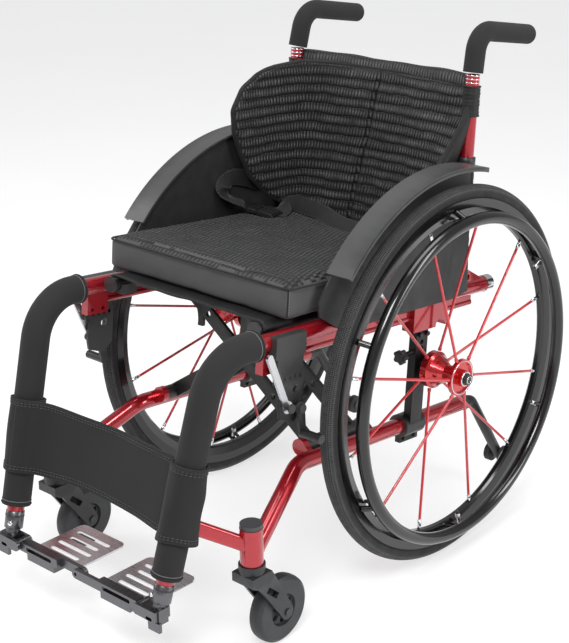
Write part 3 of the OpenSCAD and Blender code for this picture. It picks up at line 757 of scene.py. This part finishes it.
def build_back_pad():
    NU, NV = 520, 118
    vs = 0.5 - 0.5 * np.cos(np.linspace(0, math.pi, NV))
    vs = 0.35 * vs + 0.65 * np.linspace(0, 1, NV)
    us = np.linspace(-1, 1, NU)
    front, back, uv = [], [], []
    sm_v, sm_s = [a for a, _ in S_MAX], [b for _, b in S_MAX]
    S_NEAR = [(461, 160), (480, 190), (500, 226), (540, 250), (600, 229), (640, 209), (675, 193), (700, 186), (710, 182), (717, 172)]
    for v in vs:
        zz0 = 461 + v * 256
        sm_far = np.interp(v, sm_v, sm_s)
        sm_near = np.interp(zz0, [q[0] for q in S_NEAR], [q[1] for q in S_NEAR])
        for u in us:
            sm = sm_near if u > 0 else sm_far
            s = u * sm
            zb = 461 + 20 * (min(abs(s), 142) / 142) ** 2
            z = zb + v * (717 - zb)
            p, n = on_plan(s, z)
            # distance to the outline, for the rounded edge
            e = min((1 - abs(u)) * sm, v * 256 * (0.4 + 0.6 * 1), (1 - v) * 256)
            rnd = math.sqrt(max(0.0, 1 - (1 - min(e, 9) / 9.0) ** 2))
            th = 15.0 * (0.25 + 0.75 * rnd)
            # sewn row lines and the crease down the middle
            row = abs(math.sin(math.pi * (z - 461) / 15.5))
            puff = 2.0 * (row ** 0.6 - 0.6) * min(1, e / 12) + 0.55 * math.sin(2 * math.pi * s / 5.9 + 1.3 * math.sin(z / 33.0)) * min(1, row * 1.6) * min(1, e / 10)
            crease = -5.5 * math.exp(-((s + 6 + (717 - z) * 0.19) / 4.5) ** 2) * (1 if z < 700 else (717 - z) / 17)
            wave = 2.2 * math.sin(s / 34.0 + z / 55.0) * math.sin(z / 41.0 - s / 70.0) * min(1, e / 25)
            # the pad leans back with the canes, and its wings fall away from the sitter
            lean = (z - 560) * 0.095
            d = th * 0.5 + puff + crease + wave
            front.append((p[0] + n[0] * d, p[1] + n[1] * d + lean, z))
            back.append((p[0] - n[0] * th * 0.5, p[1] - n[1] * th * 0.5 + lean, z))
            uv.append((s / 1000, z / 1000))
    V = [P(*q) for q in front] + [P(*q) for q in back]
    N = NU * NV
    F, mi = [], []
    for j in range(NV - 1):
        for i in range(NU - 1):
            a = j * NU + i
            F.append((a, a + 1, a + NU + 1, a + NU)); mi.append(0)
            F.append((N + a, N + a + NU, N + a + NU + 1, N + a + 1)); mi.append(1)
    border = [i for i in range(NU)] + [j * NU + NU - 1 for j in range(1, NV)] + [(NV - 1) * NU + i for i in range(NU - 2, -1, -1)] + [j * NU for j in range(NV - 2, 0, -1)]
    for a, b in zip(border, border[1:] + border[:1]):
        F.append((b, a, N + a, N + b)); mi.append(1)
    o = make("back_pad", V, F, m_mesh_back, uvs=np.array(uv + uv))
    o.data.materials.append(m_nylon_dark)
    o.data.polygons.foreach_set("material_index", mi)
    # bound edge
    mid = np.array([(np.array(V[i]) + np.array(V[N + i])) / 2 for i in border])
    step = mid[::3]
    edge = smooth_path(step, len(step) * 2, closed=True)
    bind = sweep("back_pad_binding", edge, [(0.0042 * math.cos(a), 0.0046 * math.sin(a)) for a in np.linspace(0, 2 * math.pi, 9)[:-1]], m_binding, up=(0, 1, 0.2), closed=True)
    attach(o, "frame_left")
    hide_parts("backrest")
    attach(bind, "frame_left")
    for ob in (o, bind):
        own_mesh(ob)


def cane_at(z, side=1):
    """centre of the back cane at height z, mm"""
    f = (z - 421) / (735 - 421.0)
    return np.array([side * (181 + f * (178 - 181)), 81.6 + f * (111 - 81.6), z])


def build_back_rear():
    """the sling between the canes, with sleeves sewn round them"""
    NU, NV = 90, 60
    V, uv, F = [], [], []
    for j in range(NV):
        z = 468 + (731 - 468) * j / (NV - 1)
        a = cane_at(z, -1)
        b = cane_at(z, 1)
        for i in range(NU):
            u = i / (NU - 1)
            x = a[0] + (b[0] - a[0]) * u
            sag = 14 * (1 - (2 * u - 1) ** 2) * (0.5 + 0.5 * (731 - z) / 263)
            y = a[1] + 14.5 + sag + 1.2 * math.sin(x / 17) * math.sin(z / 23)
            if z > 715:
                y += 1.5 * math.sin(math.pi * (z - 715) / 16)
            V.append(P(x, y, z)); uv.append((x / 1000, z / 1000))
    for j in range(NV - 1):
        for i in range(NU - 1):
            p = j * NU + i
            F.append((p, p + 1, p + NU + 1, p + NU))
    o = make("back_sling", V, F, m_nylon_dark, uvs=uv)
    md = o.modifiers.new("s", "SOLIDIFY")
    md.thickness = 0.003
    md.offset = 0
    apply_mods(o)
    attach(o, "frame_left")
    # top band, ribbed like the pad
    NU = 120
    V, uv, F = [], [], []
    prof = [(0, -6), (0, 2), (1.2, 9), (4, 13.5), (8, 15.2), (12, 13.5), (14.6, 9), (15.4, 2), (15.4, -10)]
    for i in range(NU):
        u = i / (NU - 1)
        a, b = cane_at(716, -1), cane_at(716, 1)
        x = (a[0] + (b[0] - a[0]) * u) * 0.93
        sag = 12 * (1 - (2 * u - 1) ** 2)
        dz = 2.2 * math.sin(u * 9) * 0.5 + 1.6 * math.sin(u * 23 + 1) * 0.4
        for k, (yy, zz) in enumerate(prof):
            V.append(P(x, a[1] + 3 + sag + yy, 716 + zz + dz)); uv.append((x / 1000, (k * 5.0) / 1000))
    K = len(prof)
    for i in range(NU - 1):
        for k in range(K - 1):
            p = i * K + k
            F.append((p, p + K, p + K + 1, p + 1))
    t = make("back_top_band", V, F, m_mesh_back, uvs=uv)
    md = t.modifiers.new("s", "SOLIDIFY"); md.thickness = 0.003; md.offset = 0
    apply_mods(t)
    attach(t, "frame_left")
    for ob in (o, t):
        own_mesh(ob)
    for side, body in ((1, "frame_left"), (-1, "frame_right")):
        for nm, z0, z1 in (("low", 462, 598), ("top", 672, 718)):
            n = 28
            path = [P(*cane_at(z0 + (z1 - z0) * i / (n - 1), side)) for i in range(n)]
            sc = [1 + 0.025 * math.sin(i * 1.9 + side) + 0.02 * math.sin(i * 0.7) + (0.05 if i in (0, 1, n - 1, n - 2) else 0) for i in range(n)]
            s = sweep("cane_sleeve_%s_%s" % (nm, "l" if side > 0 else "r"), path, circle_sec(0.0135, 22), m_nylon_dark, up=(1, 0, 0), scale=sc)
            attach(s, body)


build_back_pad()
build_back_rear()


def grid(name, pts, mat, uvs, thick=None, closed_u=False):
    """a surface through a rectangular array of points (rows, columns)"""
    R, C = len(pts), len(pts[0])
    V = [q for row in pts for q in row]
    F = []
    for j in range(R - 1):
        for i in range(C if closed_u else C - 1):
            a, b = j * C + i, j * C + (i + 1) % C
            F.append((a, b, b + C, a + C))
    o = make(name, V, F, mat, uvs=[q for row in uvs for q in row])
    if thick:
        md = o.modifiers.new("s", "SOLIDIFY")
        md.thickness = thick
        md.offset = 0
        apply_mods(o)
    return o


def stitches(name, path, normal, mat, length=0.0034, gap=0.0024, r=0.00042):
    """a running stitch: short raised threads along a path"""
    p = np.asarray(path, float)
    nrm = np.broadcast_to(np.asarray(normal, float), p.shape)
    L = np.r_[0, np.cumsum(np.linalg.norm(np.diff(p, axis=0), axis=1))]
    V, F = [], []
    s = gap
    while s + length < L[-1]:
        base = len(V)
        for k, (f, h) in enumerate(((0, -0.2), (0.25, 1.0), (0.75, 1.0), (1, -0.2))):
            q = s + f * length
            c = np.array([np.interp(q, L, p[:, i]) for i in range(3)])
            n = np.array([np.interp(q, L, nrm[:, i]) for i in range(3)])
            n /= max(np.linalg.norm(n), 1e-9)
            q2 = min(L[-1], q + 1e-4)
            t = np.array([np.interp(q2, L, p[:, i]) for i in range(3)]) - c
            t /= max(np.linalg.norm(t), 1e-9)
            b = np.cross(t, n)
            c = c + n * r * h
            for a in range(5):
                an = 2 * math.pi * a / 5
                V.append(c + (math.cos(an) * b + math.sin(an) * n) * r)
        for k in range(3):
            for a in range(5):
                F.append((base + k * 5 + a, base + k * 5 + (a + 1) % 5, base + (k + 1) * 5 + (a + 1) % 5, base + (k + 1) * 5 + a))
        F.append(tuple(base + a for a in reversed(range(5))))
        F.append(tuple(base + 15 + a for a in range(5)))
        s += length + gap
    return make(name, V, F, mat)


def tube_at(name, a, b, r, mat, k=20, lip=0.0006):
    """a short turned sleeve with eased edges from a to b"""
    a, b = np.asarray(a, float), np.asarray(b, float)
    d = (b - a) / np.linalg.norm(b - a)
    ref = (0, 0, 1) if abs(d[2]) < 0.8 else (1, 0, 0)
    L = np.linalg.norm(b - a)
    path = [a, a + d * lip, a + d * (L - lip), b]
    sc = [max(0.2, 1 - lip / r), 1, 1, max(0.2, 1 - lip / r)]
    return sweep(name, path, circle_sec(r, k), mat, up=ref, scale=sc)


KN, TO = np.array([177, -450, 446.8]), np.array([158, -541, 119.0])


def leg_at(t, side, a=None, r=0.0):
    """point t mm down the leg from the knee; a turns round the leg from inner side (0) to front (90)"""
    d = (TO - KN) / np.linalg.norm(TO - KN)
    q = KN + d * t
    if a is not None:
        e1 = np.array([-1.0, 0, 0]) - d * np.dot([-1.0, 0, 0], d)
        e1 /= np.linalg.norm(e1)
        e2 = np.cross(d, e1)
        if e2[1] > 0:
            e2 = -e2
        q = q + r * (math.cos(math.radians(a)) * e1 + math.sin(math.radians(a)) * e2)
    return np.array([q[0] * side, q[1], q[2]])


def build_calf_strap():
    parts, trims = [], []
    T0, T1 = 148.0, 254.0
    for side in (1, -1):
        rows, uvs = [], []
        NA, NT = 64, 26
        for j in range(NT):
            f = j / (NT - 1)
            row, uv = [], []
            for i in range(NA):
                a = 360.0 * i / NA
                flare = 0.0
                if side > 0:
                    flare = 7.5 * math.exp(-((a - 235) / 42) ** 2) * f ** 2.2 + 3.5 * math.exp(-((a - 215) / 30) ** 2) * math.exp(-((f - 0.35) / 0.2) ** 2)
                else:
                    flare = 2.5 * math.exp(-((a - 200) / 40) ** 2) * f
                hem = 0.9 if (f < 0.075 or f > 0.925) else 0.0
                r = 23.4 + flare + hem + 0.5 * math.sin(math.radians(3 * a) + 4 * f) + 0.4 * math.sin(math.radians(5 * a) - 7 * f)
                t = T0 + (T1 - T0) * f + 2.0 * math.sin(math.radians(a * 2)) * f
                row.append(P(*leg_at(t, side, a, r)))
                uv.append((a / 360 * 0.15, f * 0.1))
            rows.append(row); uvs.append(uv)
        parts.append(grid("wrap", rows, m_neoprene, uvs, 0.003, closed_u=True))
        for tt in (T0 + 5, T0 + 8.5, T1 - 5, T1 - 8.5):
            f = (tt - T0) / (T1 - T0)
            ring, nr = [], []
            for i in range(65):
                a = 360.0 * i / 64
                if side > 0:
                    flare = 7.5 * math.exp(-((a % 360 - 235) / 42) ** 2) * f ** 2.2 + 3.5 * math.exp(-((a % 360 - 215) / 30) ** 2) * math.exp(-((f - 0.35) / 0.2) ** 2)
                else:
                    flare = 2.5 * math.exp(-((a % 360 - 200) / 40) ** 2) * f
                r = 23.4 + flare + 0.5 * math.sin(math.radians(3 * a) + 4 * f) + 0.4 * math.sin(math.radians(5 * a) - 7 * f) + 1.75
                t = tt + 2.0 * math.sin(math.radians(a * 2)) * f
                q = P(*leg_at(t, side, a, r))
                ring.append(q)
                c = P(*leg_at(t, side))
                nr.append((q - c) / np.linalg.norm(q - c))
            trims.append(stitches("st", ring, nr, m_thread))
    # the band across the back of the calves
    NU, NT = 110, 26
    rows, uvs = [], []
    for j in range(NT):
        f = j / (NT - 1)
        t = T0 + (T1 - T0) * f
        sag = 1.0
        ctrl = [leg_at(t, -1, 80, 25.6), leg_at(t, -1, 52, 26.0), leg_at(t, -1, 20, 27.5)]
        y0 = leg_at(t, -1)[1]
        z0 = leg_at(t, -1)[2]
        ctrl += [np.array([-118, y0 + 4, z0 + 1.5]), np.array([-55, y0 + 13, z0 + 3 - 5 * (1 - f)]), np.array([10, y0 + 15, z0 + 3 - 6 * (1 - f)]), np.array([75, y0 + 9, z0 + 2 - 3 * (1 - f)])]
        ctrl += [leg_at(t, 1, 0, 29.0), leg_at(t, 1, -30, 26.5), leg_at(t, 1, -60, 25.6)]
        line = smooth_path(ctrl, 108)
        L = np.r_[0, np.cumsum(np.linalg.norm(np.diff(line, axis=0), axis=1))]
        row, uv = [], []
        for i in range(NU):
            q = L[-1] * i / (NU - 1)
            c = np.array([np.interp(q, L, line[:, k]) for k in range(3)])
            c[1] += 1.0 * math.sin(q / 23 + 3 * f) * math.sin(math.pi * i / (NU - 1))
            if f < 0.075 or f > 0.925:
                c[1] -= 0.5
            row.append(P(*c)); uv.append((q / 1000, f * 0.1))
        rows.append(row); uvs.append(uv)
    parts.append(grid("band", rows, m_neoprene, uvs, 0.003))
    for f in (0.045, 0.08, 0.92, 0.955):
        j = f * (NT - 1)
        j0 = int(j)
        line = np.array([np.array(rows[j0][i]) * (1 - (j - j0)) + np.array(rows[j0 + 1][i]) * (j - j0) for i in range(NU)])
        tg = np.gradient(line, axis=0)
        tg /= np.linalg.norm(tg, axis=1)[:, None]
        nr = np.cross(tg, np.array(rows[-1][0]) - np.array(rows[0][0]))
        nr /= np.linalg.norm(nr, axis=1)[:, None]
        if nr[NU // 2][1] > 0:
            nr = -nr
        trims.append(stitches("st", line + nr * 0.0017, nr, m_thread))
    for nm, piece, thread, body, rests in (("wrap_l", parts[0], trims[0:4], "frame_left", ["leg_sleeve_l"]), ("wrap_r", parts[1], trims[4:8], "frame_right", ["leg_sleeve_r"]), ("band", parts[2], trims[8:], "frame_left", ["leg_sleeve_l", "leg_sleeve_r"])):
        o = join("calf_strap_" + nm, [piece])
        st = join("calf_stitching_" + nm, thread)
        for ob in (o, st):
            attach(ob, body)
            if nm == "band":
                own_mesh(ob)
        if nm == "band":
            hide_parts("calf_strap")


def build_seat_sling():
    rows, uvs = [], []
    prof = []
    for a in np.linspace(5, 90, 9):
        prof.append((148 + 12.4 * math.cos(math.radians(a)), 8 + 12.4 * math.sin(math.radians(a))))
    right = [(-x, z) for x, z in prof]
    left = prof[::-1]
    mid = [(x, 20.4 - 1.6 * math.sin(math.pi * (x + 148) / 296)) for x in np.linspace(-140, 140, 29)]
    line = right + mid + left
    L = np.r_[0, np.cumsum([math.dist(a, b) for a, b in zip(line, line[1:])])]
    NT = 70
    for j in range(NT):
        f = j / (NT - 1)
        y = -336 + 414 * f
        row, uv = [], []
        for i, (x, z) in enumerate(line):
            wav = 0.7 * math.sin(x / 11.0) * math.exp(-f * 9) + 0.35 * math.sin(x / 23 + y / 31)
            row.append(T(x, y + 2.2 * math.sin(x / 37.0) * (1 - f), z + wav * (abs(x) < 138)))
            uv.append((L[i] / 1000, y / 1000))
        rows.append(row); uvs.append(uv)
    o = grid("seat_sling_cloth", rows, m_nylon_dark, uvs, 0.0018)
    hem = []
    for j in (0, NT - 1):
        pth = smooth_path([np.array(q) for q in rows[j]][::2], 180)
        hem.append(sweep("hem", pth, [(0.0017 * math.cos(a), 0.0026 * math.sin(a)) for a in np.linspace(0, 2 * math.pi, 9)[:-1]], m_binding, up=(0, 1, 0)))
    for j in (2, 3):
        hem.append(stitches("st", np.array(rows[j])[8:-8] + np.array([0, 0, -0.0012]), (0, 0, -1), m_thread))
    h = join("seat_sling_hem", hem)
    for ob in (o, h):
        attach(ob, "frame_left")
        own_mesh(ob)
    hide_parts("seat_sling")


def web(name, pts, ups, w=0.028, n=90):
    path = smooth_path([P(*q) for q in pts], n)
    u = smooth_path([np.array(q, float) for q in ups], n)
    u = u[:len(path)] if len(u) >= len(path) else np.vstack([u, np.repeat(u[-1:], len(path) - len(u), 0)])
    o = sweep(name, path, strap_sec(w, 0.0016), m_web, up=u)
    return o, path, u


def plate_mesh(name, outline, z0, z1, origin, ax, ay, az, mat, bev=0.0008):
    """an outline with eased edges, extruded between z0 and z1 in its own axes"""
    out = np.asarray(outline, float)
    c = out.mean(0)
    V, F = [], []
    n = len(out)
    for z, k in ((z0, bev), (z0 + bev, 0), (z1 - bev, 0), (z1, bev)):
        d = out - c
        ln = np.linalg.norm(d, axis=1)[:, None]
        q = c + d * (1 - k / np.maximum(ln, 1e-6))
        for x, y in q:
            V.append(origin + ax * x + ay * y + az * z)
    for i in range(3):
        for a in range(n):
            b = (a + 1) % n
            F.append((i * n + a, i * n + b, (i + 1) * n + b, (i + 1) * n + a))
    F.append(tuple(reversed(range(n))))
    F.append(tuple(range(3 * n, 4 * n)))
    return make(name, V, F, mat, smooth=False)


def build_lap_belt():
    far, p1, u1 = web("belt_far", [(-189.3, 34, 516), (-189.3, -6, 533), (-188.8, -42, 541), (-186.4, -63, 529), (-181, -52, 509), (-170, -30, 497)],
                      [(1, 0, 0), (1, 0, 0), (1, -0.1, 0), (0.8, -0.2, 0.5), (0.3, 0, 0.95), (0.25, -0.1, 0.95)])
    near, p2, u2 = web("belt_near", [(-113, -14, 484.5), (-124, 12, 484), (-143, 34, 487), (-128, 43, 491), (-95, 38, 492), (-55, 30, 491), (-8, 13, 488), (35, 10, 487), (80, 24, 488), (125, 43, 487.5), (156, 56, 487)],
                       [(0.1, 0, 1), (0, -0.2, 1), (-0.3, -0.6, 0.7), (0, -0.85, 0.5), (0, -0.85, 0.5), (0, -0.8, 0.6), (0, -0.6, 0.8), (0, -0.55, 0.84), (0, -0.75, 0.65), (0, -0.85, 0.5), (0, -0.85, 0.5)], n=160)
    a, b = P(-167, -26, 494.5), P(-111, -15, 485.5)
    ax = (b - a) / np.linalg.norm(b - a)
    ay = np.cross(np.array([0, 0, 1.0]), ax)
    ay /= np.linalg.norm(ay)
    az = np.cross(ax, ay)
    o0 = (a + b) / 2
    def rr(hx, hy, r, cx=0.0):
        return [(x + cx, y) for x, y in rounded_rect(hx, hy, r, 6)]
    parts = [plate_mesh("bk", rr(0.014, 0.0165, 0.004, 0.012), -0.0042, 0.0042, o0, ax, ay, az, m_buckle),
             plate_mesh("bk", rr(0.0085, 0.0170, 0.003, -0.014), -0.0036, 0.0036, o0, ax, ay, az, m_buckle),
             plate_mesh("bk", rr(0.012, 0.0035, 0.0015, -0.004), -0.0024, 0.0024, o0, ax, ay, az, m_buckle)]
    for s in (-1, 1):
        parts.append(plate_mesh("bk", [(x, y + s * 0.0128) for x, y in rr(0.010, 0.0030, 0.0014, -0.003)], -0.003, 0.003, o0, ax, ay, az, m_buckle))
        parts.append(plate_mesh("bk", [(x, y) for x, y in rr(0.0018, 0.0170, 0.0015, s * 0.0268)], -0.0025, 0.0025, o0, ax, ay, az, m_buckle))
        parts.append(plate_mesh("bk", [(x, y + s * 0.0158) for x, y in rr(0.006, 0.0014, 0.001, -0.0215 if s else 0)], -0.0022, 0.0022, o0, ax, ay, az, m_buckle))
    slider_o = P(-176, -42, 503.5)
    buckle = join("belt_buckle", parts)
    st = []
    for path, ups, w in ((p1, u1, 0.0122), (p2, u2, 0.0122)):
        t, s, u = frames(path, ups)
        for sg in (-1, 1):
            st.append(stitches("st", path + s * w * sg + u * 0.00085, u, m_thread, r=0.0003))
    stitch = join("belt_stitching", st)
    for ob in (far, near, buckle, stitch):
        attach(ob, "frame_left")
        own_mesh(ob)
    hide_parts("lap_belt")


def pol(r, a, x, side):
    a = math.radians(a)
    return P(side * x, r * math.cos(a), 295 + r * math.sin(a))


def build_small_parts():
    for side, s in ((1, "l"), (-1, "r")):
        nip, tabs, bolts = [], [], []
        for k in range(12):
            out = k % 2 == 1
            a0, a1 = 14 + 30 * k + (7 if out else -7), 14 + 30 * k
            x0, x1 = (250.5, 231.5) if out else (201, 228.5)
            i, o = pol(29.9, a0, x0, side), pol(246.6, a1, x1, side)
            d = (i - o) / np.linalg.norm(i - o)
            nip.append(tube_at("n", o, o + d * 0.013, 0.0031, m_chrome, 12))
            nip.append(tube_at("n", o + d * 0.0128, o + d * 0.0152, 0.0026, m_chrome, 12))
            h = pol(29.9, a0, x0, side)
            nip.append(tube_at("n", h, h + d * -0.006, 0.0030, m_spoke, 10))
        for k in range(6):
            a = 32 + 60 * k
            tabs.append(tube_at("t", pol(236, a, 246.5, side), pol(251, a, 248.5, side), 0.0041, m_alu, 16))
            tabs.append(tube_at("t", pol(249, a, 236.4, side), pol(243.5, a, 247, side), 0.0030, m_satin, 12))
            tabs.append(tube_at("t", pol(246, a, 247, side), pol(248.6, a, 255.6, side), 0.0034, m_satin, 12))
            bolts.append(tube_at("b", pol(229.5, a, 246.0, side), pol(236, a, 246.5, side), 0.0028, m_satin, 12))
        # bright ring round the hub cap, and the cap's own dimple
        ring = [pol(10.6, q, 260.4, side) for q in np.linspace(0, 360, 49)[:-1]]
        bolts.append(sweep("r", ring, circle_sec(0.0011, 8), m_chrome, up=(1, 0, 0), closed=True))
        ring = [pol(26.4, q, 253.8, side) for q in np.linspace(0, 360, 61)[:-1]]
        bolts.append(sweep("r", ring, circle_sec(0.0007, 8), m_chrome, up=(1, 0, 0), closed=True))
        for nm, ps in (("spoke_nipples_" + s, nip), ("rim_tabs_" + s, tabs + bolts)):
            o = join(nm, ps)
            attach(o, "wheel_" + s)
        fr = "frame_left" if side > 0 else "frame_right"
        ps = []
        cap = [pol(5.6, q, 267.05, side) for q in np.linspace(0, 360, 33)[:-1]]
        ps.append(sweep("r", cap, circle_sec(0.0006, 8), m_chrome, up=(1, 0, 0), closed=True))
        # rings and bands on the back cane
        ps.append(tube_at("r", P(*cane_at(598.5, side)), P(*cane_at(609.5, side)), 0.0141, m_satin, 32))
        for z in (721.5, 727, 732.5):
            ps.append(tube_at("r", P(*cane_at(z, side)), P(*cane_at(z + 2.2, side)), 0.01135, m_chrome, 32))
        # hems on the leg sleeve
        d = TO - KN
        for t, r in ((303.5, 0.0212), (299, 0.02125)):
            ring = [P(*leg_at(t, side, q, r * 1000)) for q in np.linspace(0, 360, 49)[:-1]]
            ps.append(sweep("r", ring, circle_sec(0.0011 if t > 300 else 0.0005, 8), m_foam if t > 300 else m_thread, up=(0, 0, 1), closed=True))
        for y, r, k, m in ((-379.3, 21.2, 0.0012, m_foam), (-384, 21.15, 0.0005, m_thread)):
            ring = [T(side * 180 + r * math.cos(q), y, r * math.sin(q)) for q in np.linspace(0, 2 * math.pi, 49)[:-1]]
            ps.append(sweep("r", ring, circle_sec(k, 8), m, up=(0, 1, 0), closed=True))
        # clamp over the foot of the leg, with its screw
        ps.append(tube_at("c", P(*leg_at(315, side)), P(*leg_at(342, side)), 0.0137, m_bar, 32, 0.001))
        ps.append(tube_at("c", P(*leg_at(321, side)), P(*leg_at(324, side)), 0.0141, m_satin, 32))
        q = leg_at(333, side, 60, 12.5)
        q2 = leg_at(333, side, 60, 17.0)
        ps.append(tube_at("c", P(*q), P(*q2), 0.0036, m_chrome, 14))
        o = join("frame_fittings_" + s, ps)
        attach(o, fr)


build_calf_strap()
build_seat_sling()
build_lap_belt()
build_small_parts()
